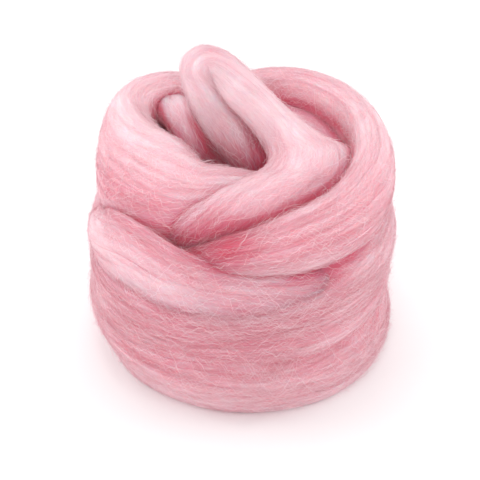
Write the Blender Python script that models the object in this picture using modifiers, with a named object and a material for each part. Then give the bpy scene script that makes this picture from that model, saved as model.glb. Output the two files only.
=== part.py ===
"""A small bundle of combed wool roving, wound on itself and tucked into its own middle.

One continuous length of roving makes the whole bundle, so it is one solid. Each stretch of the roving
is swept along its own short table of rows: level laps round the side, a right turn and a left turn
over the rim, two turns inside the hollow, and the loop that stands up and crosses to the front. The
stretches are then merged into one skin, smoothed like wool, and given a small flat base.

Metres, +Z up. The origin is under the middle of the bundle's box, on the surface it rests on. -Y is
the front. Angles are in degrees about +Z from +X, so -90 is the front and 180 is the left.
"""

import math

import bmesh
import bpy
import numpy as np

# ---- Driving dimensions (metres; the tables below are in millimetres) ----
MM = 0.001
BUNDLE_DIAMETER = 91 * MM
HOLLOW_FLOOR = 50 * MM  # height of the wool at the bottom of the hollow
CORE_RADIUS = 37 * MM  # inner turns, hidden under the outer laps
PRESSED_FLAT = 1.5 * MM  # depth of wool that the bundle's weight presses flat at the base
SKIN_CELL = 1.9 * MM  # size of the cells that merge the stretches into one skin
SKIN_SMOOTHING = 7  # rounds of smoothing after the merge
SKIN_FACES_KEPT = 0.27  # share of the merged skin's faces that the solid keeps
SLAB_DEPTH = 20 * MM  # of the cutter under the base

STEPS_PER_ROW = 6  # rings from one row of a table to the next
SECTION_POINTS = 20  # points round a section
LAP_STEPS = 72  # rings round a whole lap
CORE_SIDES = 48

WOOL_COLOUR = (0.86, 0.53, 0.60, 1.0)
WOOL_ROUGHNESS = 0.9

# Level laps round the side, from the lowest up. Each is a whole ring that rises towards one side.
# Columns: height and radius of its middle line, width, thickness, rise, angle of its highest side,
# shift of the ring in x and in y.
LAPS = (
    (6.5, 34.0, 17.0, 18.0, 0.6, -60, 1.8, -0.2),
    (15.0, 34.8, 22.0, 19.6, 1.8, 150, -0.6, 0.2),
    (25.0, 34.6, 20.0, 18.4, 2.8, -30, 0.2, 0.0),
    (34.0, 35.2, 22.0, 19.0, 2.8, -20, -0.2, 0.0),
    (41.0, 35.0, 22.0, 18.6, 1.5, 60, 0.0, 0.0),
)

# Stretches that run round the bundle, one row for each bend.
# Columns: angle, radius, height, width, thickness, facing (0 looks outwards, 90 looks up).
COLLAR = (
    (140, 36.0, 33.0, 12.0, 14.0, 0),
    (160, 36.6, 36.0, 14.0, 16.0, 0),
    (180, 37.4, 39.4, 16.0, 15.0, -2),
    (196, 39.8, 42.4, 21.0, 11.2, -3),
    (212, 41.0, 45.0, 29.0, 8.6, -3),
    (226, 41.2, 45.8, 31.6, 7.8, -3),
    (242, 41.0, 43.8, 30.0, 8.4, -3),
    (256, 40.4, 42.4, 28.6, 9.4, -3),
    (272, 39.2, 41.2, 27.0, 11.6, -1),
    (290, 37.4, 39.6, 24.6, 14.6, 0),
    (310, 36.0, 38.4, 22.6, 16.4, 0),
    (330, 35.0, 38.0, 20.0, 16.0, 0),
)
RIGHT_TURN = (
    (-124, 35.0, 49.0, 6.0, 5.0, 0),
    (-107, 37.0, 53.5, 9.0, 7.6, 2),
    (-90, 38.0, 57.0, 12.6, 10.8, 5),
    (-66, 38.1, 59.0, 17.4, 13.5, 13),
    (-42, 38.4, 60.0, 18.4, 13.6, 16),
    (-15, 37.8, 61.4, 20.4, 13.0, 8),
    (15, 36.8, 62.8, 21.0, 12.8, 4),
    (45, 36.4, 63.2, 21.0, 12.8, 2),
    (75, 36.0, 61.2, 20.0, 12.4, 0),
    (105, 34.5, 57.0, 16.0, 11.0, 0),
    (132, 32.5, 53.0, 12.0, 8.0, 0),
)
LEFT_TURN = (
    (72, 30.5, 53.0, 12.0, 8.0, 0),
    (98, 34.0, 58.4, 17.6, 11.5, 0),
    (116, 35.6, 60.8, 19.6, 12.8, 0),
    (136, 37.0, 63.6, 22.0, 14.2, 2),
    (154, 36.6, 64.2, 23.4, 14.6, 6),
    (176, 33.4, 63.6, 26.0, 16.0, 25),
    (198, 29.6, 62.2, 30.4, 16.8, 46),
    (216, 27.2, 61.4, 30.0, 16.8, 54),
    (234, 24.4, 61.2, 27.0, 15.4, 58),
    (254, 21.0, 61.8, 23.0, 13.6, 64),
    (276, 19.4, 61.2, 20.6, 12.4, 70),
    (300, 19.8, 58.0, 18.0, 10.5, 78),
    (324, 20.2, 54.5, 13.0, 7.5, 85),
)
INNER_RIGHT_TURN = (
    (114, 25.0, 52.0, 12.0, 8.0, 30),
    (86, 27.0, 57.0, 16.0, 10.0, 55),
    (56, 27.6, 59.0, 19.0, 11.0, 72),
    (26, 27.0, 59.0, 19.0, 11.0, 76),
    (-4, 25.4, 57.0, 17.0, 10.0, 76),
    (-34, 23.5, 53.0, 12.0, 8.0, 76),
)

# Stretches in the middle, by their two edges. The first runs down behind the loop. The second is the
# loop and the crossing: up out of the hollow, over at the tip, down to the right, back across the front
# and down behind the collar.
# Columns: outer edge x, y and z, inner edge x, y and z, thickness, cup (how far the edges rise).
INNER_LEFT_TURN = (
    (-23.5, 28.9, 57.0, -15.7, 28.9, 57.0, 6.0, 0.0),
    (-25.3, 30.9, 61.4, -15.7, 31.7, 61.6, 7.4, 0.0),
    (-26.8, 24.3, 64.4, -15.5, 25.0, 65.0, 8.4, 0.0),
    (-26.9, 19.6, 65.8, -15.4, 20.0, 66.6, 8.8, 0.0),
    (-24.1, 15.6, 66.0, -14.7, 15.8, 68.0, 9.0, 0.0),
    (-21.4, 12.2, 64.4, -12.9, 11.8, 67.2, 9.4, 0.0),
    (-18.5, 8.9, 61.4, -10.2, 8.3, 65.0, 9.4, 0.0),
    (-14.7, 8.9, 56.0, -7.3, 9.9, 59.6, 9.0, 0.0),
    (-10.4, 12.1, 49.0, -4.2, 14.6, 51.6, 6.0, 0.0),
)
LOOP_AND_CROSSING = (
    (1.2, 8.8, 47.0, 7.1, 8.1, 46.0, 6.0, 0.0),
    (-1.8, 6.1, 54.0, 13.5, 3.5, 53.0, 9.0, 0.0),
    (-4.7, 3.0, 60.5, 14.0, 2.7, 60.0, 10.4, 0.0),
    (-9.8, 4.1, 67.5, 13.3, 4.7, 66.4, 10.0, 0.0),
    (-14.1, 6.7, 74.5, 9.3, 8.4, 73.0, 9.0, 0.0),
    (-16.4, 9.1, 80.5, 2.3, 8.2, 79.0, 7.6, 1.0),
    (-17.3, 12.7, 85.0, -4.3, 8.7, 82.8, 6.4, 1.5),
    (-15.6, 15.9, 88.4, -8.0, 9.0, 84.0, 6.0, 1.5),
    (-10.4, 17.8, 89.4, -8.6, 8.6, 84.6, 6.0, 1.5),
    (-4.0, 15.8, 87.8, -7.7, 5.9, 85.0, 6.6, 1.0),
    (1.7, 12.6, 84.4, -4.3, 0.8, 83.6, 7.4, 0.0),
    (6.9, 10.9, 78.6, 0.9, -2.2, 79.8, 8.4, 0.0),
    (15.0, 6.3, 72.0, 4.8, -4.0, 75.2, 9.6, 0.0),
    (24.2, -0.0, 69.0, 7.1, -6.7, 71.2, 10.4, 0.0),
    (30.5, -0.8, 66.4, 7.4, -11.1, 69.8, 10.6, 0.0),
    (32.7, -5.1, 63.8, 5.4, -14.5, 69.4, 11.2, 0.0),
    (30.9, -10.9, 60.5, 1.1, -17.8, 69.0, 12.4, 0.0),
    (24.4, -17.4, 58.6, -4.5, -22.6, 69.0, 13.4, 0.0),
    (16.4, -22.7, 56.5, -10.3, -27.3, 68.3, 13.6, 0.0),
    (9.1, -24.0, 52.5, -15.3, -30.0, 65.8, 12.4, 0.0),
    (3.7, -23.0, 47.5, -19.5, -30.1, 61.0, 11.0, 0.0),
    (0.0, -21.5, 42.0, -22.5, -28.2, 55.0, 9.5, 0.0),
    (-2.3, -22.0, 36.5, -24.4, -26.0, 48.0, 7.0, 0.0),
)


def smooth_columns(rows):
    """The columns of a table, with more rows between its own, on a curve that passes through each."""
    table = np.array(rows, float)
    last = len(table) - 1
    place = np.arange(last * STEPS_PER_ROW + 1) / STEPS_PER_ROW
    first = np.minimum(place.astype(int), last - 1)
    t = (place - first)[:, None]
    before, start = table[np.maximum(first - 1, 0)], table[first]
    end, after = table[first + 1], table[np.minimum(first + 2, last)]
    leave, arrive = (end - before) / 2, (after - start) / 2
    curve = (
        start * (2 * t**3 - 3 * t**2 + 1)
        + leave * (t**3 - 2 * t**2 + t)
        + end * (3 * t**2 - 2 * t**3)
        + arrive * (t**3 - t**2)
    )
    return curve.T


def unit(vectors):
    return vectors / np.linalg.norm(vectors, axis=1, keepdims=True)


def direction(angle, elevation):
    """The unit vectors that look along these angles and elevations, both in degrees."""
    angle, elevation = np.radians(angle), np.radians(elevation)
    level = np.cos(elevation)
    return np.stack([level * np.cos(angle), level * np.sin(angle), np.sin(elevation)], 1)


def stretch(middle, width, thickness, cup, facing, closed=False):
    """Points and faces of a closed band, lens shaped across, along a path of middle points.

    Across the band a point goes half the width times the cosine of its turn to the side, and half the
    thickness times the sine out of the face. The cup lifts the edges by the cosine squared.
    """
    if closed:
        along = np.roll(middle, -1, 0) - np.roll(middle, 1, 0)
    else:
        along = np.gradient(middle, axis=0)
    along = unit(along)
    facing = unit(facing - along * np.sum(facing * along, 1, keepdims=True))
    across = np.cross(along, facing)
    turn = np.arange(SECTION_POINTS) * 2 * math.pi / SECTION_POINTS
    side = np.cos(turn)[None, :, None]
    rise = np.sin(turn)[None, :, None]
    half_width = width[:, None, None] / 2
    half_thickness = thickness[:, None, None] / 2
    lift = cup[:, None, None] * side**2
    points = (
        middle[:, None]
        + across[:, None] * half_width * side
        + facing[:, None] * (half_thickness * rise + lift)
    )
    rings, corners = len(middle), SECTION_POINTS
    faces = []
    for ring in range(rings if closed else rings - 1):
        here, there = ring * corners, (ring + 1) % rings * corners
        for corner in range(corners):
            beside = (corner + 1) % corners
            faces.append((here + corner, here + beside, there + beside, there + corner))
    if not closed:
        faces.append(tuple(reversed(range(corners))))
        faces.append(tuple((rings - 1) * corners + corner for corner in range(corners)))
    return points.reshape(-1, 3), faces


def lap(height, radius, width, thickness, rise, high_side, shift_x, shift_y):
    """A whole ring round the bundle, tipped so that its high side is at that angle."""
    angle = np.arange(LAP_STEPS) * 360 / LAP_STEPS
    around = direction(angle, np.zeros(LAP_STEPS))
    middle = around * radius + (shift_x, shift_y, 0)
    middle[:, 2] = height + rise * np.cos(np.radians(angle - high_side))
    same = np.ones(LAP_STEPS)
    return stretch(middle * MM, same * width * MM, same * thickness * MM, same * 0, around, closed=True)


def turn(rows):
    """A stretch that runs round the bundle, from rows of angle, radius and height."""
    angle, radius, height, width, thickness, facing = smooth_columns(rows)
    middle = direction(angle, angle * 0) * radius[:, None]
    middle[:, 2] = height
    return stretch(middle * MM, width * MM, thickness * MM, width * 0, direction(angle, facing))


def crossing(rows):
    """A stretch along any path, from rows of its two edges. Its middle lies half way between them, and it
    faces along the step across crossed with the step along."""
    columns = smooth_columns(rows)
    outer, inner = columns[0:3].T, columns[3:6].T
    thickness, cup = columns[6], columns[7]
    middle, across = (outer + inner) / 2, inner - outer
    facing = np.cross(across, np.gradient(middle, axis=0))
    width = np.linalg.norm(across, axis=1)
    return stretch(middle * MM, width * MM, thickness * MM, cup * MM, facing)


def add_band(body, points, faces):
    corners = [body.verts.new(point) for point in points]
    for face in faces:
        body.faces.new([corners[number] for number in face])


def wool_material():
    wool = bpy.data.materials.new("pink wool")
    wool.use_nodes = True
    shader = wool.node_tree.nodes["Principled BSDF"]
    shader.inputs["Base Color"].default_value = WOOL_COLOUR
    shader.inputs["Roughness"].default_value = WOOL_ROUGHNESS
    shader.inputs["Metallic"].default_value = 0.0
    return wool


def base_cutter(collection):
    """A slab under the bundle. Its top is the surface that the bundle rests on."""
    slab = bmesh.new()
    bmesh.ops.create_cube(slab, size=1.0)
    side = 2 * BUNDLE_DIAMETER
    bmesh.ops.scale(slab, verts=slab.verts, vec=(side, side, SLAB_DEPTH))
    bmesh.ops.translate(slab, verts=slab.verts, vec=(0, 0, -SLAB_DEPTH / 2))
    mesh = bpy.data.meshes.new("base_cutter")
    slab.to_mesh(mesh)
    slab.free()
    cutter = bpy.data.objects.new("base_cutter", mesh)
    cutter.hide_render = True
    cutter.display_type = "WIRE"
    collection.objects.link(cutter)
    return cutter


def wool_roving(collection, cutter):
    """The whole bundle: its stretches as closed bands, merged into one skin by the modifiers."""
    body = bmesh.new()
    height = HOLLOW_FLOOR + PRESSED_FLAT
    core = bmesh.ops.create_cone(
        body, cap_ends=True, segments=CORE_SIDES, radius1=CORE_RADIUS, radius2=CORE_RADIUS, depth=height
    )
    bmesh.ops.translate(body, verts=core["verts"], vec=(0, 0, height / 2 - PRESSED_FLAT))
    for shape in LAPS:
        add_band(body, *lap(*shape))
    for rows in (COLLAR, RIGHT_TURN, LEFT_TURN, INNER_RIGHT_TURN):
        add_band(body, *turn(rows))
    for rows in (INNER_LEFT_TURN, LOOP_AND_CROSSING):
        add_band(body, *crossing(rows))
    bmesh.ops.recalc_face_normals(body, faces=body.faces)
    mesh = bpy.data.meshes.new("wool_roving")
    body.to_mesh(mesh)
    body.free()
    mesh.materials.append(wool_material())

    bundle = bpy.data.objects.new("wool_roving", mesh)
    collection.objects.link(bundle)
    skin = bundle.modifiers.new("merge the stretches", "REMESH")
    skin.mode = "VOXEL"
    skin.voxel_size = SKIN_CELL
    smooth = bundle.modifiers.new("soften the creases", "SMOOTH")
    smooth.factor = 0.5
    smooth.iterations = SKIN_SMOOTHING
    fewer = bundle.modifiers.new("keep fewer faces", "DECIMATE")
    fewer.ratio = SKIN_FACES_KEPT
    base = bundle.modifiers.new("flat base", "BOOLEAN")
    base.operation = "DIFFERENCE"
    base.object = cutter
    return bundle


def main():
    for leftover in list(bpy.data.objects):
        bpy.data.objects.remove(leftover)
    scene = bpy.context.scene
    parts = bpy.data.collections.new("wool_roving_bundle")
    cutters = bpy.data.collections.new("cutters")
    scene.collection.children.link(parts)
    scene.collection.children.link(cutters)
    wool_roving(parts, base_cutter(cutters))


main()
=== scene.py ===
# %% [markdown]
# # A bundle of combed wool roving
# Roving is a soft, untwisted band of combed wool. Here one length of it is wound round itself, and its
# end is turned up out of the hollow and tucked away across the front. This lesson builds the bundle in
# three layers: the stretches of roving as swept surfaces, tens of thousands of fibres that lie along
# them, and the stray hairs that make wool look soft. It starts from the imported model, whose one solid
# the new pieces stand in for.

import math

import bpy
import numpy as np
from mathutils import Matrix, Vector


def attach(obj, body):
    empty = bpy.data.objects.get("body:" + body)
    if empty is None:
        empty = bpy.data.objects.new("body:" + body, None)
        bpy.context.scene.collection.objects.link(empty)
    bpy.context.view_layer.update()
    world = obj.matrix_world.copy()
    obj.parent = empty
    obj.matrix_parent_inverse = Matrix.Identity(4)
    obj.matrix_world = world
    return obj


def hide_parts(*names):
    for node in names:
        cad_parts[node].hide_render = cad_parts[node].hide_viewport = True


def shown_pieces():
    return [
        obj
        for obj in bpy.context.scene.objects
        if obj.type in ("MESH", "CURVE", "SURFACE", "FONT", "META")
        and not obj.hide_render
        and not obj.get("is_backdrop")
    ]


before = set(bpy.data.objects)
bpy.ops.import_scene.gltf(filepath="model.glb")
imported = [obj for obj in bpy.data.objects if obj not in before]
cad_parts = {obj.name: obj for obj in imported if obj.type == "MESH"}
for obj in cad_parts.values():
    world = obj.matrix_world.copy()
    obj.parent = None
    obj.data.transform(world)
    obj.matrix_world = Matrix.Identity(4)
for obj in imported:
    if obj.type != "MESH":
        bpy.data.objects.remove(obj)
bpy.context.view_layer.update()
NODE = "wool_roving"
MM = 0.001

# %% [markdown]
# ## The way the roving runs
# A maker winds the roving round a hand, then folds the last turns over the top. Each stretch is
# described by a short table, one row for each bend, in millimetres and degrees. Angles go round +Z from
# +X: -90 is the front and 180 the left. These are the same rows that the solid was made from, so the
# wool lies where the solid does.

# %% The stretches of roving
# Columns: height and radius of the lap's middle line, width, thickness, rise, angle of its highest
# side, shift in x and in y.
LAPS = (
    (6.5, 34.0, 17.0, 18.0, 0.6, -60, 1.8, -0.2),
    (15.0, 34.8, 22.0, 19.6, 1.8, 150, -0.6, 0.2),
    (25.0, 34.6, 20.0, 18.4, 2.8, -30, 0.2, 0.0),
    (34.0, 35.2, 22.0, 19.0, 2.8, -20, -0.2, 0.0),
    (41.0, 35.0, 22.0, 18.6, 1.5, 60, 0.0, 0.0),
)
# The stretches that run round it. Columns: angle, radius, height, width, thickness, facing (0 looks
# outwards, 90 looks up).
COLLAR = (
    (140, 36.0, 33.0, 12.0, 14.0, 0),
    (160, 36.6, 36.0, 14.0, 16.0, 0),
    (180, 37.4, 39.4, 16.0, 15.0, -2),
    (196, 39.8, 42.4, 21.0, 11.2, -3),
    (212, 41.0, 45.0, 29.0, 8.6, -3),
    (226, 41.2, 45.8, 31.6, 7.8, -3),
    (242, 41.0, 43.8, 30.0, 8.4, -3),
    (256, 40.4, 42.4, 28.6, 9.4, -3),
    (272, 39.2, 41.2, 27.0, 11.6, -1),
    (290, 37.4, 39.6, 24.6, 14.6, 0),
    (310, 36.0, 38.4, 22.6, 16.4, 0),
    (330, 35.0, 38.0, 20.0, 16.0, 0),
)
RIGHT_TURN = (
    (-124, 35.0, 49.0, 6.0, 5.0, 0),
    (-107, 37.0, 53.5, 9.0, 7.6, 2),
    (-90, 38.0, 57.0, 12.6, 10.8, 5),
    (-66, 38.1, 59.0, 17.4, 13.5, 13),
    (-42, 38.4, 60.0, 18.4, 13.6, 16),
    (-15, 37.8, 61.4, 20.4, 13.0, 8),
    (15, 36.8, 62.8, 21.0, 12.8, 4),
    (45, 36.4, 63.2, 21.0, 12.8, 2),
    (75, 36.0, 61.2, 20.0, 12.4, 0),
    (105, 34.5, 57.0, 16.0, 11.0, 0),
    (132, 32.5, 53.0, 12.0, 8.0, 0),
)
LEFT_TURN = (
    (72, 30.5, 53.0, 12.0, 8.0, 0),
    (98, 34.0, 58.4, 17.6, 11.5, 0),
    (116, 35.6, 60.8, 19.6, 12.8, 0),
    (136, 37.0, 63.6, 22.0, 14.2, 2),
    (154, 36.6, 64.2, 23.4, 14.6, 6),
    (176, 33.4, 63.6, 26.0, 16.0, 25),
    (198, 29.6, 62.2, 30.4, 16.8, 46),
    (216, 27.2, 61.4, 30.0, 16.8, 54),
    (234, 24.4, 61.2, 27.0, 15.4, 58),
    (254, 21.0, 61.8, 23.0, 13.6, 64),
    (276, 19.4, 61.2, 20.6, 12.4, 70),
    (300, 19.8, 58.0, 18.0, 10.5, 78),
    (324, 20.2, 54.5, 13.0, 7.5, 85),
)
INNER_RIGHT_TURN = (
    (114, 25.0, 52.0, 12.0, 8.0, 30),
    (86, 27.0, 57.0, 16.0, 10.0, 55),
    (56, 27.6, 59.0, 19.0, 11.0, 72),
    (26, 27.0, 59.0, 19.0, 11.0, 76),
    (-4, 25.4, 57.0, 17.0, 10.0, 76),
    (-34, 23.5, 53.0, 12.0, 8.0, 76),
)
# The stretches in the middle, by their two edges. Columns: outer edge x, y, z, inner edge x, y, z,
# thickness, cup (how far the edges rise).
INNER_LEFT_TURN = (
    (-23.5, 28.9, 57.0, -15.7, 28.9, 57.0, 6.0, 0.0),
    (-25.3, 30.9, 61.4, -15.7, 31.7, 61.6, 7.4, 0.0),
    (-26.8, 24.3, 64.4, -15.5, 25.0, 65.0, 8.4, 0.0),
    (-26.9, 19.6, 65.8, -15.4, 20.0, 66.6, 8.8, 0.0),
    (-24.1, 15.6, 66.0, -14.7, 15.8, 68.0, 9.0, 0.0),
    (-21.4, 12.2, 64.4, -12.9, 11.8, 67.2, 9.4, 0.0),
    (-18.5, 8.9, 61.4, -10.2, 8.3, 65.0, 9.4, 0.0),
    (-14.7, 8.9, 56.0, -7.3, 9.9, 59.6, 9.0, 0.0),
    (-10.4, 12.1, 49.0, -4.2, 14.6, 51.6, 6.0, 0.0),
)
LOOP_AND_CROSSING = (
    (1.2, 8.8, 47.0, 7.1, 8.1, 46.0, 6.0, 0.0),
    (-1.8, 6.1, 54.0, 13.5, 3.5, 53.0, 9.0, 0.0),
    (-4.7, 3.0, 60.5, 14.0, 2.7, 60.0, 10.4, 0.0),
    (-9.8, 4.1, 67.5, 13.3, 4.7, 66.4, 10.0, 0.0),
    (-14.1, 6.7, 74.5, 9.3, 8.4, 73.0, 9.0, 0.0),
    (-16.4, 9.1, 80.5, 2.3, 8.2, 79.0, 7.6, 1.0),
    (-17.3, 12.7, 85.0, -4.3, 8.7, 82.8, 6.4, 1.5),
    (-15.6, 15.9, 88.4, -8.0, 9.0, 84.0, 6.0, 1.5),
    (-10.4, 17.8, 89.4, -8.6, 8.6, 84.6, 6.0, 1.5),
    (-4.0, 15.8, 87.8, -7.7, 5.9, 85.0, 6.6, 1.0),
    (1.7, 12.6, 84.4, -4.3, 0.8, 83.6, 7.4, 0.0),
    (6.9, 10.9, 78.6, 0.9, -2.2, 79.8, 8.4, 0.0),
    (15.0, 6.3, 72.0, 4.8, -4.0, 75.2, 9.6, 0.0),
    (24.2, -0.0, 69.0, 7.1, -6.7, 71.2, 10.4, 0.0),
    (30.5, -0.8, 66.4, 7.4, -11.1, 69.8, 10.6, 0.0),
    (32.7, -5.1, 63.8, 5.4, -14.5, 69.4, 11.2, 0.0),
    (30.9, -10.9, 60.5, 1.1, -17.8, 69.0, 12.4, 0.0),
    (24.4, -17.4, 58.6, -4.5, -22.6, 69.0, 13.4, 0.0),
    (16.4, -22.7, 56.5, -10.3, -27.3, 68.3, 13.6, 0.0),
    (9.1, -24.0, 52.5, -15.3, -30.0, 65.8, 12.4, 0.0),
    (3.7, -23.0, 47.5, -19.5, -30.1, 61.0, 11.0, 0.0),
    (0.0, -21.5, 42.0, -22.5, -28.2, 55.0, 9.5, 0.0),
    (-2.3, -22.0, 36.5, -24.4, -26.0, 48.0, 7.0, 0.0),
)
HOLLOW_FLOOR = 50.0  # height of the floor of the hollow
print("laps:", len(LAPS), "and bends of the loop and crossing:", len(LOOP_AND_CROSSING))

# %% [markdown]
# ## From bends to a smooth path
# Wool never bends at a corner, so each column is carried on one smooth curve through its rows. The
# frame of the band (which way it runs, which way it faces, which way is across) is worked out at every
# station, because the fibres later need all three.

# %% Smooth columns and the frame along a path
STATIONS = 241  # places along a stretch where its frame is kept
TINY = 1e-6  # millimetres, so that nothing is divided by zero
LEAST_LENGTH = 1e-9  # so that a vector of no length stays one


def smooth_columns(rows):
    """Each column on a Hermite curve that passes through its rows, its slope half the step between
    the rows on either side."""
    table = np.array(rows, float)
    last = len(table) - 1
    place = np.linspace(0, last, STATIONS)
    first = np.minimum(place.astype(int), last - 1)
    t = (place - first)[:, None]
    before, start = table[np.maximum(first - 1, 0)], table[first]
    end, after = table[first + 1], table[np.minimum(first + 2, last)]
    leave, arrive = (end - before) / 2, (after - start) / 2
    curve = (
        start * (2 * t**3 - 3 * t**2 + 1)
        + leave * (t**3 - 2 * t**2 + t)
        + end * (3 * t**2 - 2 * t**3)
        + arrive * (t**3 - t**2)
    )
    return curve.T


def unit(vectors):
    """Vectors divided by their own length, along the last axis."""
    return vectors / np.maximum(np.linalg.norm(vectors, axis=-1, keepdims=True), LEAST_LENGTH)


def direction(angle, elevation):
    """Unit vectors that look along an angle round +Z and an elevation, both in degrees."""
    angle, elevation = np.radians(angle), np.radians(elevation)
    level = np.cos(elevation)
    return np.stack([level * np.cos(angle), level * np.sin(angle), np.sin(elevation)], -1)


def band(middle, across, thickness, cup):
    """A stretch of roving: at each station its middle, its three directions and half its sizes. The
    step across reaches from the middle to one edge, and the way it faces is across x along. The
    stations are spread evenly by the mean length of the two edges, so a tight turn gets its share."""
    edges = np.stack([middle - across, middle + across])
    steps = np.linalg.norm(np.diff(edges, axis=1), axis=2).mean(0)
    length = np.concatenate([[0], np.cumsum(steps)])
    even = np.linspace(0, length[-1], STATIONS)

    def spread(values):
        columns = values.reshape(STATIONS, -1).T
        return np.stack([np.interp(even, length, column) for column in columns], 1)

    middle, across = spread(middle), spread(across)
    along = unit(np.gradient(middle, axis=0))
    half_width = np.linalg.norm(across, axis=1, keepdims=True)
    across = across / half_width
    facing = unit(np.cross(across, along))
    sizes = np.hstack([half_width, spread(np.stack([thickness / 2, cup], 1))])
    return {"length": length[-1], "rows": np.hstack([middle, along, across, facing, sizes])}


def turn(rows):
    """A stretch that runs round the bundle, from rows of angle, radius and height. Across is square
    to both the way it runs and the way it faces."""
    angle, radius, height, width, thickness, facing = smooth_columns(rows)
    middle = direction(angle, angle * 0) * radius[:, None]
    middle[:, 2] = height
    along = unit(np.gradient(middle, axis=0))
    across = unit(np.cross(along, direction(angle, facing))) * width[:, None] / 2
    return band(middle, across, thickness, width * 0)


def crossing(rows):
    """A stretch that is given by its two edges, so that it can turn tightly round the inner one. Its
    middle is half their sum, and the step across is half their difference."""
    columns = smooth_columns(rows)
    outer, inner, thickness, cup = columns[0:3].T, columns[3:6].T, columns[6], columns[7]
    return band((outer + inner) / 2, (inner - outer) / 2, thickness, cup)


BANDS = {
    "collar": turn(COLLAR),
    "right_turn": turn(RIGHT_TURN),
    "left_turn": turn(LEFT_TURN),
    "inner_left_turn": crossing(INNER_LEFT_TURN),
    "inner_right_turn": turn(INNER_RIGHT_TURN),
    "loop_and_crossing": crossing(LOOP_AND_CROSSING),
}
for name, stretch in BANDS.items():
    print(name, "runs", round(stretch["length"]), "mm")

# %% [markdown]
# ## Locks in the wool
# Combed fibres gather into locks: shallow ridges a millimetre or two across and several centimetres
# long. Stretched random noise gives the same look. The numbers across are small cells and those along
# are long ones, so every ridge runs the way the fibres run.

# %% Ridges that run along the roving
NOISE_ROWS = 64
# Columns: width of a lock across, length along, height, all in millimetres.
LOCKS = ((5.0, 30.0, 0.34), (2.1, 14.0, 0.16), (0.9, 6.0, 0.07))
DRIFT = 0.35  # how many lock widths a lock drifts sideways as it runs


def ripples(across, along, cells, seed):
    """Smooth random heights from -1 to 1: a grid of random values, eased from one to the next, that
    repeats after so many cells across."""
    grid = np.random.default_rng(seed).uniform(-1, 1, (cells, NOISE_ROWS))
    i, j = np.floor(across).astype(int), np.floor(along).astype(int)
    u, v = across - i, along - j
    u, v = u * u * (3 - 2 * u), v * v * (3 - 2 * v)
    left = grid[i % cells, j % NOISE_ROWS] * (1 - v) + grid[i % cells, (j + 1) % NOISE_ROWS] * v
    i = i + 1
    right = grid[i % cells, j % NOISE_ROWS] * (1 - v) + grid[i % cells, (j + 1) % NOISE_ROWS] * v
    return left * (1 - u) + right * u


def lock_height(around, along, girth, seed):
    """How far the locks stand out, in millimetres: the sum of three sizes of ripples. around goes from
    0 to 1 round the section, whose girth is given, and along is a length in millimetres."""
    height = 0
    for number, (width, length, tall) in enumerate(LOCKS):
        cells = max(4, round(girth / width))
        # A slow sine moves them sideways, so that no two sections are alike.
        drift = DRIFT * np.sin(along / (length * 1.7) + number)
        height = height + tall * ripples(around * cells + drift, along / length, cells, seed + number)
    return height


print("tallest lock:", sum(tall for _, _, tall in LOCKS), "mm")

# %% [markdown]
# ## Surfaces of the stretches
# Every point of a band is its station's middle, plus a step across and a step out of its face, which
# together go round a flattened ellipse. The same function places the fibres, only a little higher, so
# wool and fibres can never part.

# %% A point on a band
END_FADE = 6  # millimetres at each end over which the lift and the locks fade out


def girth_of(stretch):
    """About how far it is round the section where it is largest, in millimetres."""
    return float(np.pi * (stretch["rows"][:, 12] + stretch["rows"][:, 13]).max())


def on_band(stretch, along, around, lift, seed):
    """Point, outward direction and lock height, at a length along (in millimetres) and a place round
    the section (0 to 1).

    Formula: middle + across * half width * cos + facing * (half thickness * sin + cup * cos squared),
    then moved outwards by the lift and the height of the locks."""
    share = np.clip(along / stretch["length"], 0, 1)
    first = np.minimum((share * (STATIONS - 1)).astype(int), STATIONS - 2)
    part = (share * (STATIONS - 1) - first)[..., None]
    row = stretch["rows"][first] * (1 - part) + stretch["rows"][first + 1] * part
    middle, across, facing = row[..., 0:3], unit(row[..., 6:9]), unit(row[..., 9:12])
    half_width, half_thickness, cup = (row[..., column : column + 1] for column in (12, 13, 14))
    side = np.cos(2 * np.pi * around)[..., None]
    rise = np.sin(2 * np.pi * around)[..., None]
    point = middle + across * half_width * side + facing * (half_thickness * rise + cup * side**2)
    slope = 2 * cup * side / np.maximum(half_width, TINY)
    outward = unit(across * half_thickness * (side - slope * rise) + facing * half_width * rise)
    locks = lock_height(around, along, girth_of(stretch), seed)
    ends = np.clip(np.minimum(share, 1 - share) * stretch["length"] / END_FADE, 0, 1)
    return point + outward * ((lift + locks) * ends)[..., None], outward, locks


print("girth of the crossing, mm:", round(girth_of(BANDS["loop_and_crossing"]), 1))

# %% The round side, from its laps
SHARPNESS = 0.9  # millimetres over which two laps melt into each other
SIDE_TOP = 49.0  # the height where the round side ends, under the rims
SIDE_REACH = 44.0  # mean radius, to turn angles into lengths
SIDE_GIRTH = 150  # its locks would repeat after this many millimetres, and it is a third as high
LAP_REACH = 6  # millimetres over which a lap's tilt is passed to the fibres near it
TILT_FADE = 8  # the tilt fades out over the lowest and the highest eighth
OUTSIDE = 1e-6  # how little a lap counts above and below itself
LAP_TABLE = np.array(LAPS)


def side_radius(angle, height):
    """Radius of the round side: each lap gives an ellipse, and the farthest out wins softly (the
    logarithm of the summed exponentials)."""
    turned, total = np.radians(angle), 0
    for middle, radius, width, thickness, rise, high_side, shift_x, shift_y in LAPS:
        away = (height - middle - rise * np.cos(turned - math.radians(high_side))) / (width / 2)
        bulge = thickness / 2 * np.sqrt(np.clip(1 - away**2, 0, 1))
        shift = shift_x * np.cos(turned) + shift_y * np.sin(turned)
        inside = np.where(np.abs(away) < 1, 1.0, OUTSIDE)
        total = total + inside * np.exp((radius + bulge + shift - SIDE_REACH) / SHARPNESS)
    return SIDE_REACH + SHARPNESS * np.log(total)


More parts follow.
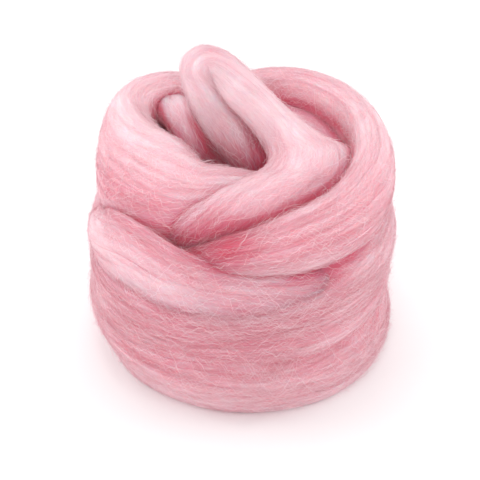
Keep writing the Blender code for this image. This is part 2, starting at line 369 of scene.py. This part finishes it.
def side_height(angle, level):
    """Height of a fibre's line round the side: a level from 0 to 1, tilted as the nearest laps are.
    The tilt is the mean of the laps' cosines, weighted by how near they are, and none at the ends."""
    flat = level * SIDE_TOP
    near = np.exp(-(((flat[..., None] - LAP_TABLE[:, 0]) / LAP_REACH) ** 2))
    tilts = LAP_TABLE[:, 4] * np.cos(np.radians(angle[..., None] - LAP_TABLE[:, 5]))
    tilt = np.sum(near * tilts, -1) / np.sum(near, -1)
    return flat + tilt * np.clip(np.minimum(level, 1 - level) * TILT_FADE, 0, 1)


def on_side(along, level, lift, seed):
    """Point, outward direction and lock height on the round side, at a length along (in millimetres,
    once round is 276) and a level from 0 to 1. Outward leans by how the radius changes with height."""
    angle = np.degrees(along / SIDE_REACH)
    height = side_height(angle, level)
    radius = side_radius(angle, height)
    around = direction(angle, angle * 0)
    lean = (side_radius(angle, height + 0.5) - side_radius(angle, height - 0.5))[..., None]
    outward = unit(around - lean * np.array([0.0, 0.0, 1.0]))
    locks = lock_height(level * SIDE_TOP / SIDE_GIRTH, along, SIDE_GIRTH, seed)
    point = around * radius[..., None]
    point[..., 2] = height
    return point + outward * (lift + locks)[..., None], outward, locks


print("side radius at the front, mm:", round(float(side_radius(np.array(-90.0), np.array(25.0))), 1))

# %% [markdown]
# ## Where the stretches press on each other
# Where two turns meet, the wool is painted deeper in colour, a painted shade for the light that passes
# through more of it before it comes back. So each point of the wool needs to know how far it is from
# the next stretch. The same measure tells which fibres would be buried, and those are left out.

# %% The gap between a point and its neighbours
NEAREST = 4  # every so many stations are tried for the nearest one
TRIES = 3  # times that a point moves on to the station it lies beside
LEAST_SLANT = 0.2  # keeps the step along in bounds where across runs nearly along
END_CAP = 4  # millimetres beyond its last station where a band still counts as wool
FAR = 50.0  # millimetres, more than any gap that matters


def gap_to_band(stretch, points):
    """Distance in millimetres from points to a band's surface, below zero inside it: the value of the
    ellipse at the nearest station, less one, over the steepness of that value. Across can slant along
    the band, so a point is split into a step along and a step across that fit together."""
    rows, spacing = stretch["rows"], stretch["length"] / (STATIONS - 1)
    middle = rows[::NEAREST, 0:3]
    place = NEAREST * np.argmin(np.sum(middle**2, 1) - 2 * points @ middle.T, axis=1)
    for _ in range(TRIES):
        row = rows[place]
        away = points - row[:, 0:3]
        slant = np.sum(row[:, 3:6] * row[:, 6:9], 1)
        forward, sideways = np.sum(away * row[:, 3:6], 1), np.sum(away * row[:, 6:9], 1)
        beyond = (forward - slant * sideways) / np.maximum(1 - slant**2, LEAST_SLANT)
        place = np.clip(np.round(place + beyond / spacing), 0, STATIONS - 1).astype(int)
    half_width, half_thickness = row[:, 12], row[:, 13]
    side = (sideways - slant * beyond) / half_width
    rise = (np.sum(away * row[:, 9:12], 1) - row[:, 14] * side**2) / half_thickness
    value = np.sqrt(side**2 + rise**2) + TINY
    steep = np.sqrt((side / half_width) ** 2 + (rise / half_thickness) ** 2) / value + TINY
    return np.maximum((value - 1) / steep, np.abs(beyond) - END_CAP)


def gap_to_round(points):
    """Distance to the round side and the floor of the hollow: outside both is the larger of the two."""
    angle = np.degrees(np.arctan2(points[:, 1], points[:, 0]))
    height = np.minimum(points[:, 2], HOLLOW_FLOOR - 4)  # above this the last lap curves in
    radius = np.hypot(points[:, 0], points[:, 1])
    return np.maximum(radius - side_radius(angle, height), points[:, 2] - HOLLOW_FLOOR)


def gap(points, own):
    """The smallest distance to any stretch but the point's own."""
    flat = points.reshape(-1, 3)
    smallest = np.full(len(flat), FAR) if own == "side" else gap_to_round(flat)
    for name, stretch in BANDS.items():
        if name != own:
            smallest = np.minimum(smallest, gap_to_band(stretch, flat))
    return smallest.reshape(points.shape[:-1])


print("gap at the axis, mm:", gap(np.array([[0.0, 0.0, 20.0], [0.0, 0.0, 120.0]]), "").round(1))

# %% [markdown]
# ## How crowded a place is
# In a hollow or a crease the light bounces from fibre to fibre and picks up dye each time, so the wool
# there is painted deep rose, as painted shade. To know where that is, the space round the bundle is cut
# into small cubes, each marked as wool or air, and the marks are blurred. A point just above an open
# top then reads a low value, and a point in a fold a high one.

# %% Blurred cubes
CUBE = 1.5  # millimetres along its edge
LOWEST, HIGHEST = np.array([-54.0, -54.0, -6.0]), np.array([54.0, 54.0, 102.0])
CUBES = ((HIGHEST - LOWEST) / CUBE).astype(int) + 1


def blurred(marks, times):
    """Each cube becomes a quarter of its two neighbours and half of itself, along x, y and z, again
    and again; the blur reaches the square root of half the times, in cubes."""
    for _ in range(times):
        for axis in range(3):
            marks = (np.roll(marks, 1, axis) + 2 * marks + np.roll(marks, -1, axis)) / 4
    return marks


def sample(marks, points):
    """The marks at any points: a straight blend of the eight cubes round each."""
    place = np.clip((points - LOWEST) / CUBE, 0, CUBES - 1.001)
    low = place.astype(int)
    share = place - low
    total = 0
    for corner in np.ndindex(2, 2, 2):
        weight = np.prod(np.where(np.array(corner), share, 1 - share), -1)
        total = total + weight * marks[tuple(np.moveaxis(low + np.array(corner), -1, 0))]
    return total


cube_axes = [LOWEST[axis] + CUBE * np.arange(CUBES[axis]) for axis in range(3)]
cube_middles = np.stack(np.meshgrid(*cube_axes, indexing="ij"), -1)
wool_marks = np.clip(0.5 - gap(cube_middles, "") / CUBE, 0, 1)
NEAR_MARKS, WIDE_MARKS = blurred(wool_marks, 8), blurred(wool_marks, 36)
print("cubes:", CUBES.tolist(), "and wool in", int(wool_marks.sum()))

# %% [markdown]
# ## How pale each point is painted: painted light and shade
# Roving under soft lamps doesn't look one even pink. One number for each point, its tone from 0 (deep)
# to 1 (pale), paints that light and shade into its colour: the tops that look at the light are painted
# almost white (painted light), the sides a dusty pink, and the folds deep rose (painted shade). It
# starts from the height and is painted deeper where the wool is crowded, in the notch at the front, and
# where two stretches touch.

# %% The tone: painted light and shade
# Columns: height in millimetres, tone. This is painted light by height: the foot is painted paler where
# white card lights it, and the tops are painted palest.
PAINTED_LIGHT_BY_HEIGHT = (
    (0, 0.77),
    (14, 0.58),
    (30, 0.52),
    (48, 0.67),
    (55, 0.59),
    (61, 0.41),
    (68, 0.63),
    (76, 0.97),
    (90, 1.05),
)
# How far out from the wool the near and the wide blur are read. The wide one is read a little higher
# too, because most of the light comes from above.
NEAR_LOOK, WIDE_LOOK = 3.0, 6.0
LOOK_UP = np.array([0.0, 0.0, 2.0])
OPEN_AIR = 0.2  # a blurred mark up to this is an open place
CLOSE = 1.2  # millimetres from a neighbour, within which the wool is painted deeper, a painted shade
NOTCH = np.array([-6.0, -37.0, 58.0])  # where three stretches dive down together at the front, painted deeper as painted shade
NOTCH_REACH = 9.0  # millimetres
# How much painted shade each of these takes from the tone, and the painted highlight that the last one
# adds for each millimetre of lock height.
CROWD_PAINTED_SHADE, NOTCH_PAINTED_SHADE, TOUCH_PAINTED_SHADE, LOCK_PAINTED_HIGHLIGHT = 0.55, 0.5, 0.2, 0.22


def painted_tone_of(points, outward, locks, own):
    """How pale the wool is painted, all of it painted light and shade: paler by height (painted light),
    paler on top of a lock (painted highlight), and deeper (painted shade) where other wool is crowded
    round it (the two blurred marks), in the notch (a Gaussian round its middle) and where the gap to
    the next stretch closes."""
    near = sample(NEAR_MARKS, points + NEAR_LOOK * outward)
    wide = sample(WIDE_MARKS, points + WIDE_LOOK * outward + LOOK_UP)
    # Painted shade where other wool is crowded round the point.
    crowd_shade = CROWD_PAINTED_SHADE * wide + np.maximum(wide - OPEN_AIR, 0) + np.maximum(near - OPEN_AIR, 0)
    touch = np.clip(1 - gap(points, own) / CLOSE, 0, 1)
    notch = np.exp(-np.sum((points - NOTCH) ** 2, -1) / NOTCH_REACH**2)
    tone = np.interp(points[..., 2], *np.transpose(PAINTED_LIGHT_BY_HEIGHT)) + LOCK_PAINTED_HIGHLIGHT * locks
    return np.clip(tone - crowd_shade - NOTCH_PAINTED_SHADE * notch - TOUCH_PAINTED_SHADE * touch, 0, 1)


up, level_locks = np.array([[0.0, 0.0, 1.0]]), np.zeros(1)
print("tone of an open top:", painted_tone_of(np.array([[0.0, 0.0, 90.0]]), up, level_locks, "").round(2))
print("tone in the hollow:", painted_tone_of(np.array([[-12.0, 2.0, 55.0]]), up, level_locks, "").round(2))

# %% [markdown]
# ## From arrays to pieces
# Each surface is worked out as arrays of points first. A mesh is then made of them in one go, with two
# values on each point: the tone, and the lay (where the point is across and along its roving), which
# lets a pattern run the way the fibres run.

# %% Meshes that carry a lay and a tone
def add_values(mesh, lay, tone):
    """Store the lay and the tone on each point of a mesh."""
    lays = mesh.attributes.new("lay", "FLOAT_VECTOR", "POINT")
    lays.data.foreach_set("vector", lay.astype("f").ravel())
    tones = mesh.attributes.new("tone", "FLOAT", "POINT")
    tones.data.foreach_set("value", tone.astype("f").ravel())


def new_piece(name, points, faces, material, lay, tone):
    """An object of these points (in millimetres) and faces, which stands for the wool's solid. The
    table stops the points: no height is below zero."""
    mesh = bpy.data.meshes.new(name)
    flat = points.reshape(-1, 3).copy()
    flat[:, 2] = np.maximum(flat[:, 2], 0)
    mesh.from_pydata(flat * MM, [], faces)
    mesh.polygons.foreach_set("use_smooth", np.ones(len(mesh.polygons), bool))
    add_values(mesh, lay.reshape(-1, 3), tone.reshape(-1))
    mesh.materials.append(material)
    piece = bpy.data.objects.new(name, mesh)
    bpy.context.scene.collection.objects.link(piece)
    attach(piece, "root")
    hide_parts(NODE)
    return piece


def skin(name, points, material, lay, tone):
    """A closed surface from rings of corners, with a pole at the middle of the first and last ring:
    four corners of two rings make a face, and the pole and two corners make a face of each cap."""
    rings, corners = points.shape[:2]
    index = np.arange(rings * corners).reshape(rings, corners)
    ahead = np.roll(index, -1, 1)
    quads = np.stack([index[:-1], index[1:], ahead[1:], ahead[:-1]], -1).reshape(-1, 4)
    poles = np.full(corners, rings * corners), np.full(corners, rings * corners + 1)
    caps = np.stack([poles[0], index[0], ahead[0]], 1), np.stack([poles[1], ahead[-1], index[-1]], 1)

    def with_poles(values):
        flat = values.reshape(rings, corners, -1)
        return np.vstack([flat.reshape(rings * corners, -1), flat[0].mean(0), flat[-1].mean(0)])

    faces = quads.tolist() + caps[0].tolist() + caps[1].tolist()
    return new_piece(name, with_poles(points), faces, material, with_poles(lay), with_poles(tone))


print("each point carries a lay (three numbers) and a tone (one)")

# %% [markdown]
# ## Dyed, combed wool
# The real fibre is fine merino, about 0.02 mm thick, combed straight and dyed rose pink, and never
# spun. The surface is dull, because every fibre scatters light, and it glows a little, because light
# passes through. So the material is rough, lets light in below the surface, and has a pale sheen. It
# turns from deep rose to pale pink by the tone that each point carries, which holds painted light and
# shade.

# %% Colours and a node helper
def linear(hex_colour):
    """An sRGB hex colour as linear red, green, blue and alpha: below 0.04045 a straight line, and above
    it ((part + 0.055) / 1.055) to the power 2.4."""
    parts = np.array([int(hex_colour[place : place + 2], 16) / 255 for place in (1, 3, 5)])
    return np.where(parts <= 0.04045, parts / 12.92, ((parts + 0.055) / 1.055) ** 2.4).tolist() + [1.0]


def node(tree, kind, settings=None, **links):
    """Add a node with its settings; each link names an input (with _ for a space, or _ and its number)
    and gives it an output or a value."""
    made = tree.nodes.new(kind)
    for name, value in (settings or {}).items():
        setattr(made, name, value)
    for name, value in links.items():
        numbered = name[1:].isdigit()
        socket = made.inputs[int(name[1:]) if numbered else name.replace("_", " ")]
        if isinstance(value, bpy.types.NodeSocket):
            tree.links.new(value, socket)
        else:
            socket.default_value = value
    return made


def colour_steps(ramp, steps):
    """Give a colour ramp its places and hex colours."""
    for element in list(ramp.color_ramp.elements)[2:]:
        ramp.color_ramp.elements.remove(element)
    for number, (place, colour) in enumerate(steps):
        elements = ramp.color_ramp.elements
        element = elements[number] if number < 2 else elements.new(place)
        element.position, element.color = place, linear(colour)


print("the deepest rose, linear:", np.round(linear("#DA657D"), 3).tolist())

# %% The wool
# Metres that red, green and blue light spread below the surface: red goes farthest, so thin wool and
# folds glow warm.
GLOW_REACH = (0.0180, 0.0040, 0.0050)
RAISED = 0.0003  # metres that the fine streaks stand up
SCALE_AND_ADD, ADD = {"operation": "MULTIPLY_ADD"}, {"operation": "ADD"}


def wool(name, steps, mottle, streak, roughness, glow, sheen, thin):
    """Wool of one look: its tone, which holds painted light and shade, moved by soft blotches and by
    fine streaks along the lay, picks its colour, and the streaks are raised a little. A thin fibre also
    lets light through from behind."""
    material = bpy.data.materials.new(name)
    material.use_nodes = True
    tree = material.node_tree
    tree.nodes.clear()
    lay = node(tree, "ShaderNodeAttribute", {"attribute_name": "lay"})
    tone = node(tree, "ShaderNodeAttribute", {"attribute_name": "tone"})
    # Dye and packing vary over patches of about 4 mm across and 12 mm long.
    broad = node(tree, "ShaderNodeMapping", Vector=lay.outputs["Vector"], Scale=(0.25, 0.08, 0.08))
    patches = node(tree, "ShaderNodeTexNoise", Vector=broad.outputs["Vector"], Scale=1.0, Detail=2.0)
    # Crimped fibres show as waves 0.5 mm across and 3 mm long; single fibres are too fine to draw.
    fine = node(tree, "ShaderNodeMapping", Vector=lay.outputs["Vector"], Scale=(1.8, 0.32, 0.32))
    crimp = node(tree, "ShaderNodeTexNoise", Vector=fine.outputs["Vector"], Scale=1.0, Detail=4.0)
    crimp.inputs["Distortion"].default_value = 0.6
    moved = tone.outputs["Fac"]
    for size, pattern in ((mottle, patches), (streak, crimp)):
        # The pattern goes from 0 to 1, and so it swings the tone by half its size either way.
        value = pattern.outputs["Fac"]
        swing = node(tree, "ShaderNodeMath", SCALE_AND_ADD, _0=value, _1=size, _2=-size / 2)
        moved = node(tree, "ShaderNodeMath", ADD, _0=moved, _1=swing.outputs[0]).outputs[0]
    # The ramp turns the tone into colour: deep rose for painted shade, near white for painted light.
    ramp = node(tree, "ShaderNodeValToRGB", _0=moved)
    colour_steps(ramp, steps)
    bump = node(tree, "ShaderNodeBump", Height=crimp.outputs["Fac"], Strength=0.6, Distance=RAISED)
    shader = node(
        tree,
        "ShaderNodeBsdfPrincipled",
        Base_Color=ramp.outputs["Color"],
        Roughness=roughness,
        Normal=bump.outputs["Normal"],
        Subsurface_Weight=glow,
        Subsurface_Radius=GLOW_REACH,
        Subsurface_Scale=1.0,
        Sheen_Weight=sheen,
        Sheen_Roughness=0.5,
        Sheen_Tint=linear("#FFE6EA"),
        Specular_IOR_Level=0.2,
    )
    surface = shader.outputs["BSDF"]
    if thin:
        through = node(tree, "ShaderNodeBsdfTranslucent", Color=ramp.outputs["Color"])
        both = node(tree, "ShaderNodeMixShader", _0=thin, _1=surface, _2=through.outputs["BSDF"])
        surface = both.outputs["Shader"]
    node(tree, "ShaderNodeOutputMaterial", Surface=surface)
    return material


packed_wool = wool(
    "packed_combed_wool",
    ((0.0, "#DA657D"), (0.25, "#DC8A9B"), (0.55, "#E5B3BD"), (1.0, "#F7DDE2")),
    mottle=0.4,
    streak=0.5,
    roughness=0.9,
    glow=0.9,
    sheen=0.9,
    thin=0.0,
)
wool_fibre = wool(
    "single_wool_fibres",
    ((0.0, "#DA6C83"), (0.25, "#DC92A2"), (0.55, "#E6BBC4"), (1.0, "#F8E1E6")),
    mottle=0.3,
    streak=0.1,
    roughness=0.75,
    glow=0.0,
    sheen=0.5,
    thin=0.5,
)
print("materials:", packed_wool.name, "and", wool_fibre.name)

# %% [markdown]
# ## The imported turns
# The round side, the floor of the hollow and the flat base are one skin: a profile that starts under
# the middle, goes out along the table, up the side and back in over the floor. It is carried round a
# full circle, and the radius at each height comes from the laps. The other stretches are flattened
# tubes that sink into it.

# %% The round side, floor and base
ONCE_ROUND = 2 * math.pi * SIDE_REACH
ROUND_STEPS, SIDE_RINGS = 250, 120
SIDE_SEED = 11  # of its locks
# How far out the rings of the base and the floor lie, as a share of the first or last ring of the side.
LEVEL_SHARES = np.linspace(0.1, 0.95, 14)
# Under the rims the floor rises to meet them, so that no daylight shows below: how far it rises, in
# millimetres, at which share, and over what share on either side of it.
UNDER_RIM, RISE_SHARE, RISE_REACH = 5.5, 0.85, 0.16

levels = np.linspace(0.0, 1.0, SIDE_RINGS)
lengths = np.linspace(ONCE_ROUND, 0, ROUND_STEPS, endpoint=False) + ONCE_ROUND / 4
length_grid, level_grid = np.meshgrid(lengths, levels)
side_points, side_outward, side_locks = on_side(length_grid, level_grid, 0.0, SIDE_SEED)
base_rings = side_points[0] * np.stack([LEVEL_SHARES, LEVEL_SHARES, 0 * LEVEL_SHARES], 1)[:, None]
inward = LEVEL_SHARES[::-1, None]
floor_rings = side_points[-1] * inward[..., None]
rise = np.clip(1 - ((inward - RISE_SHARE) / RISE_REACH) ** 2, 0, 1)
floor_rings[..., 2] = HOLLOW_FLOOR + UNDER_RIM * rise
round_points = np.concatenate([base_rings, side_points, floor_rings])
flat_part = np.zeros(base_rings.shape)
round_outward = np.concatenate([flat_part - [0, 0, 1], side_outward, flat_part + [0, 0, 1]])
round_locks = np.concatenate([flat_part[..., 0], side_locks, flat_part[..., 0]])
turned = length_grid[:1] / SIDE_REACH + 0 * round_locks
# The lay goes round a circle, so that the pattern has no seam where the side closes.
circle = SIDE_REACH * np.stack([np.cos(turned), np.sin(turned)], -1)
round_lay = np.concatenate([round_points[..., 2:], circle], -1)
round_tone = painted_tone_of(round_points, round_outward, round_locks, "side")
outer_turns = skin("outer_turns", round_points, packed_wool, round_lay, round_tone)
print("outer turns:", len(outer_turns.data.polygons), "faces")

# %% The other stretches
# Columns: stretch, rings along it, corners round it, seed of its locks.
SKINS = (
    ("collar", 80, 110, 21),
    ("right_turn", 130, 100, 31),
    ("left_turn", 110, 150, 41),
    ("inner_left_turn", 60, 90, 51),
    ("inner_right_turn", 60, 90, 61),
    ("loop_and_crossing", 190, 110, 71),
)
SEEDS = {name: seed for name, _, _, seed in SKINS}
APART = 100.0  # between the lays of two stretches, so that no two have the same pattern
for name, rings, corners, seed in SKINS:
    stretch = BANDS[name]
    spots = np.linspace(0, stretch["length"], rings), np.arange(corners) / corners - 0.25
    along, around = np.meshgrid(*spots, indexing="ij")
    points, outward, locks = on_band(stretch, along, around, 0.0, seed)
    lay = np.stack([around * girth_of(stretch), along, np.full(along.shape, APART * seed)], -1)
    piece = skin(name, points, packed_wool, lay, painted_tone_of(points, outward, locks, name))
    print(name, len(piece.data.polygons), "faces")

# %% [markdown]
# ## Fibres that lie along the turns
# A skin alone looks like felt. What makes it roving is that thousands of fibres run along it, almost
# parallel, and cross now and then. Each fibre is a flat ribbon a little wider than a real one, so that
# it shows, and tapers to its ends. It follows its stretch, wanders a little sideways, and rises and
# sinks a little. Fibres that would be buried under another turn are left out.

# %% Ribbons along rows of points
LEAST_WIDTH = 0.15  # of a ribbon's full width, at its ends
FIBRE_LAY = 30  # the lay runs this far along a fibre
FIBRES_APART = 7.3  # between the lays of two fibres


def ribbons(name, points, outward, width, roll, tone):
    """A piece of flat ribbons. Each one's edges are its points plus and minus half its width, in a
    direction that lies across the fibre and is turned about it by its roll. The width tapers as
    (4 t (1 - t)) to the power 0.4, with t from 0 to 1 along it."""
    count, steps = points.shape[:2]
    ahead = unit(np.gradient(points, axis=1))
    across = unit(np.cross(ahead, outward))
    upright = np.cross(across, ahead)
    roll = roll[:, None, None]
    across = across * np.cos(roll) + upright * np.sin(roll)
    t = np.linspace(0, 1, steps)
    taper = np.maximum((4 * t * (1 - t)) ** 0.4, LEAST_WIDTH)
    half = width[:, None, None] / 2 * taper[None, :, None]
    edges = np.stack([points + across * half, points - across * half], 2)
    index = np.arange(count * steps * 2).reshape(count, steps, 2)
    quads = np.stack([index[:, :-1, 0], index[:, :-1, 1], index[:, 1:, 1], index[:, 1:, 0]], -1)
    run = np.tile(np.repeat(t * FIBRE_LAY, 2), count)
    lay = np.stack([np.repeat(np.arange(count) * FIBRES_APART, steps * 2), run, 0 * run], 1)
    faces, tones = quads.reshape(-1, 4).tolist(), np.repeat(tone, 2, axis=1)
    bake_cells(new_piece(name, edges, faces, wool_fibre, lay, tones), count, steps)


def bake_cells(piece, count, steps):
    """A UV map that gives each ribbon its own cell of the picture, for programs that need a map: a
    square of cells, with the ribbon from 0.1 to 0.9 up its cell and from 0.25 to 0.75 across."""
    cells = math.ceil(math.sqrt(count))
    number = np.arange(count)[:, None, None]
    across, up = np.array([0.25, 0.75]), np.linspace(0.1, 0.9, steps)[:, None]
    u, v = np.broadcast_arrays(number % cells + across, number // cells + up)
    places = np.stack([u, v], -1).reshape(-1, 2) / cells
    corners = np.empty(len(piece.data.loops), np.int32)
    piece.data.loops.foreach_get("vertex_index", corners)
    piece.data.uv_layers.new(name="OFBake").data.foreach_set("uv", places[corners].astype("f").ravel())


print("a ribbon narrows to", LEAST_WIDTH, "of its width")

# %% [markdown]
# ## Three kinds of fibre
# Most fibres lie flat and long. Others are crimped, as merino is, and lie a little across the rest. A
# few come loose at one end and stand off as stray hairs, which catch the light and soften the outline;
# crimped and stray fibres are also painted paler, a painted highlight.
# Each kind is one row of numbers, and one function draws them all, from random numbers with a fixed
# seed, so that every run gives the same wool.

# %% The kinds and how many of each
# Columns: points along it, length from and to, width, most lift, spread of its angle in degrees, size
# and length of its crimp, most height of its loose end. All but the first and sixth are millimetres.
KINDS = {
    "laid": (9, 14.0, 38.0, 0.11, 0.35, 3.0, 0.10, 6.0, 0.0),
    "crimped": (17, 4.0, 10.0, 0.12, 0.60, 15.0, 0.30, 2.2, 0.0),
    "stray": (15, 3.0, 8.0, 0.11, 0.45, 30.0, 0.40, 2.2, 2.0),
}
# How much paler than the wool below each kind is painted, a painted highlight where it catches the
# light.
PAINTED_HIGHLIGHT_BY_KIND = {"laid": -0.06, "crimped": 0.18, "stray": 0.42}
# Columns: stretch, fibres laid, crimped and stray.
FIBRE_COUNTS = (
    ("side", 2200, 4200, 4600),
    ("collar", 900, 1600, 1800),
    ("right_turn", 1200, 2000, 2300),
    ("left_turn", 1300, 2200, 2600),
    ("inner_left_turn", 150, 300, 250),
    ("inner_right_turn", 250, 450, 350),
    ("loop_and_crossing", 1300, 1700, 2400),
)
print("fibres drawn, at most:", sum(sum(counts) for _, *counts in FIBRE_COUNTS))

# %% Fibres of one kind
STEEPEST = 60.0  # degrees, the most that a fibre turns from the lay
END_ROOM = 0.5  # millimetres that a fibre keeps from both ends of its stretch
BEND, BEND_LENGTH = 0.35, 30  # a slow bend, in millimetres, of a fibre this long
LEAST_LIFT, WAVE = 0.05, 0.1  # millimetres that a fibre clears the skin, and that it rises and sinks
LOWEST_LIFT = 0.02  # millimetres, so that the small wave takes no fibre below the skin
SHADE, LIFT_PAINTED_HIGHLIGHT = 0.12, 0.2  # how much fibres differ in tone at random, and how much paler each millimetre of lift is painted, a painted highlight
ROLL = 0.5  # radians, how much ribbons turn about their own line
BURIED = -0.4  # millimetres: a fibre whose middle half lies deeper in other wool is left out
SIDE_LEVELS = (0.01, 1)  # the part of the round side that has fibres


def place_on(name, along, around, lift):
    """Point, outward direction and lock height on a stretch by its name."""
    if name == "side":
        return on_side(along, around, lift, SIDE_SEED)
    return on_band(BANDS[name], along, around, lift, SEEDS[name])


def fibres(name, kind, count, seed):
    """Fibres of one kind on one stretch. Each starts anywhere and runs along, at an angle of its own;
    sideways it adds a slow bend and its crimp (a sine of its own length and phase). Its height is a
    lift, a small wave and, for a loose end, a rise as the power 1.5 of how far along it is."""
    random = np.random.default_rng(seed)
    steps, shortest, longest, width, most_lift, spread, crimp, crimp_length, stand = KINDS[kind]
    whole = ONCE_ROUND if name == "side" else BANDS[name]["length"]
    girth = SIDE_TOP if name == "side" else girth_of(BANDS[name])
    t = np.linspace(0, 1, steps)[None, :]
    length = random.uniform(shortest, longest, (count, 1))
    start = random.uniform(0, 1, (count, 1)) * whole
    if name != "side":
        start = np.clip(start - length / 2, END_ROOM, whole - length - END_ROOM)
    run = length * t
    slope = np.tan(np.radians(np.clip(random.normal(0, spread, (count, 1)), -STEEPEST, STEEPEST)))
    bend = random.normal(0, BEND, (count, 1)) * np.sin(np.pi * t * random.uniform(1, 3, (count, 1)))
    phase, waves = random.uniform(0, 2 * np.pi, (2, count, 1)), random.uniform(0.7, 1.4, (2, count, 1))
    curl = crimp * random.uniform(0.4, 1.4, (count, 1))
    sideways = slope * (run - length / 2) + bend * length / BEND_LENGTH
    sideways = sideways + curl * np.sin(2 * np.pi * run / (crimp_length * waves[0]) + phase[0])
    around = random.uniform(0, 1, (count, 1)) + sideways / girth
    lift = LEAST_LIFT + random.uniform(0, 1, (count, 1)) ** 2 * most_lift
    lift = lift + WAVE * np.sin(2 * np.pi * run / (crimp_length * waves[1]) + phase[1])
    lift = lift + stand * random.uniform(0, 1, (count, 1)) ** 2 * t**1.5
    points, outward, locks = place_on(name, start + run, around, np.maximum(lift, LOWEST_LIFT))
    # Its own random tint, plus a painted highlight for its lift and its kind.
    tint_and_painted_highlight = random.normal(0, SHADE, (count, 1)) + LIFT_PAINTED_HIGHLIGHT * lift + PAINTED_HIGHLIGHT_BY_KIND[kind]
    roll = random.normal(0, ROLL, count)
    widths = width * random.uniform(0.7, 1.3, count)
    quarter = steps // 4
    clear = gap(points[:, quarter : steps - quarter], name).mean(1) > BURIED
    if name == "side":
        clear &= (around.min(1) > SIDE_LEVELS[0]) & (around.max(1) < SIDE_LEVELS[1])
    points, outward, locks = points[clear], outward[clear], locks[clear]
    tone = np.clip(painted_tone_of(points, outward, locks, name) + tint_and_painted_highlight[clear], 0, 1)
    print(name, kind, int(clear.sum()), "of", count)
    return points, outward, widths[clear], roll[clear], tone


# %% Lay them
for place_number, (name, *counts) in enumerate(FIBRE_COUNTS):
    for kind_number, (kind, count) in enumerate(zip(KINDS, counts)):
        made = fibres(name, kind, count, 1000 + 10 * place_number + kind_number)
        ribbons(name + "_" + kind + "_fibres", *made)

# %% [markdown]
# ## The table, the light and the camera
# The bundle stands on plain white card. The room is bright and even, and four soft boxes stand above,
# in front and at both sides, so the tops are pale and the creases glow rose; the painted light and
# shade in the wool's tone add to both. A small spot lamp reaches down into the hollow, which would look
# too dark without it. The camera looks down at 37 degrees from the front with a long lens, as a product
# photograph is taken.

# %% The table
HALF_TABLE = 3.0  # metres
table = bpy.data.objects.new("table_top", bpy.data.meshes.new("table_top"))
table_corners = np.array([(-1, -1, 0), (1, -1, 0), (1, 1, 0), (-1, 1, 0)]) * HALF_TABLE
table.data.from_pydata(table_corners, [], [(0, 1, 2, 3)])
bpy.context.scene.collection.objects.link(table)
paper = bpy.data.materials.new("white_card")
paper.use_nodes = True
paper.node_tree.nodes["Principled BSDF"].inputs["Base Color"].default_value = linear("#FAFAFA")
paper.node_tree.nodes["Principled BSDF"].inputs["Roughness"].default_value = 0.9
table.data.materials.append(paper)
table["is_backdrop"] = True
print("table, metres:", 2 * HALF_TABLE)

# %% The light
ROOM = 0.82  # strength of the even light from all round
BUNDLE_MIDDLE = (0, 0, 0.04)
# Columns: soft box, place in metres, power in watts.
SOFT_BOXES = (
    ("top_soft_box", (-0.05, 0.15, 0.9), 1.8),
    ("front_soft_box", (-0.03, -0.72, 0.66), 2.0),
    ("left_soft_box", (-0.9, 0.1, 0.35), 1.9),
    ("right_soft_box", (0.9, 0.1, 0.35), 1.6),
)
BOX_SIZE = 0.5  # metres
SPOT_PLACE, SPOT_AIM, SPOT_POWER = (-0.05, -0.50, 0.64), (-0.006, 0.004, 0.068), 22.0
SPOT_ANGLE, SPOT_SOFTNESS = 4.2, 0.06  # degrees that it opens, and metres across

scene = bpy.context.scene
scene.view_settings.view_transform = "Standard"
world = bpy.data.worlds.new("soft_light")
scene.world = world
world.use_nodes = True
world.node_tree.nodes["Background"].inputs["Color"].default_value = linear("#FFFFFF")
world.node_tree.nodes["Background"].inputs["Strength"].default_value = ROOM


def lamp(name, kind, place, aim, power):
    """A lamp at a place, its -Z turned to its aim. It gives back the light, for its other settings."""
    light = bpy.data.lights.new(name, kind)
    light.energy = power
    made = bpy.data.objects.new(name, light)
    made.location = place
    toward = Vector(aim) - Vector(place)
    made.rotation_euler = toward.to_track_quat("-Z", "Y").to_euler()
    scene.collection.objects.link(made)
    return light


for name, place, power in SOFT_BOXES:
    lamp(name, "AREA", place, BUNDLE_MIDDLE, power).size = BOX_SIZE
hollow_spot = lamp("hollow_spot", "SPOT", SPOT_PLACE, SPOT_AIM, SPOT_POWER)
hollow_spot.shadow_soft_size, hollow_spot.spot_blend = SPOT_SOFTNESS, 1.0
hollow_spot.spot_size = math.radians(SPOT_ANGLE)
print("soft boxes:", len(SOFT_BOXES), "and the room's light:", ROOM)

# %% The camera
ELEVATION = 37.0  # degrees above the level
DISTANCE = 0.650  # metres from its aim
AIM = (-0.00059, -0.00214, 0.0352)
SENSOR, LENS = 36.0, 164.67  # millimetres, which make the bundle as large as in the photograph
camera_data = bpy.data.cameras.new("product_camera")
camera_data.sensor_width, camera_data.lens = SENSOR, LENS
camera_data.clip_start, camera_data.clip_end = 0.05, 20
camera = bpy.data.objects.new("product_camera", camera_data)
down = math.radians(ELEVATION)
camera.location = (AIM[0], AIM[1] - DISTANCE * math.cos(down), AIM[2] + DISTANCE * math.sin(down))
camera.rotation_euler = (math.radians(90 - ELEVATION), 0, 0)
scene.collection.objects.link(camera)
scene.camera = camera
print("camera at", [round(value, 3) for value in camera.location])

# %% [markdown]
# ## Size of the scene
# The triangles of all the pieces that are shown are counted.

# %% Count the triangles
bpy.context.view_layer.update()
triangles = sum(2 * len(piece.data.polygons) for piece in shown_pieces())
print("faces as triangles, at most:", triangles)
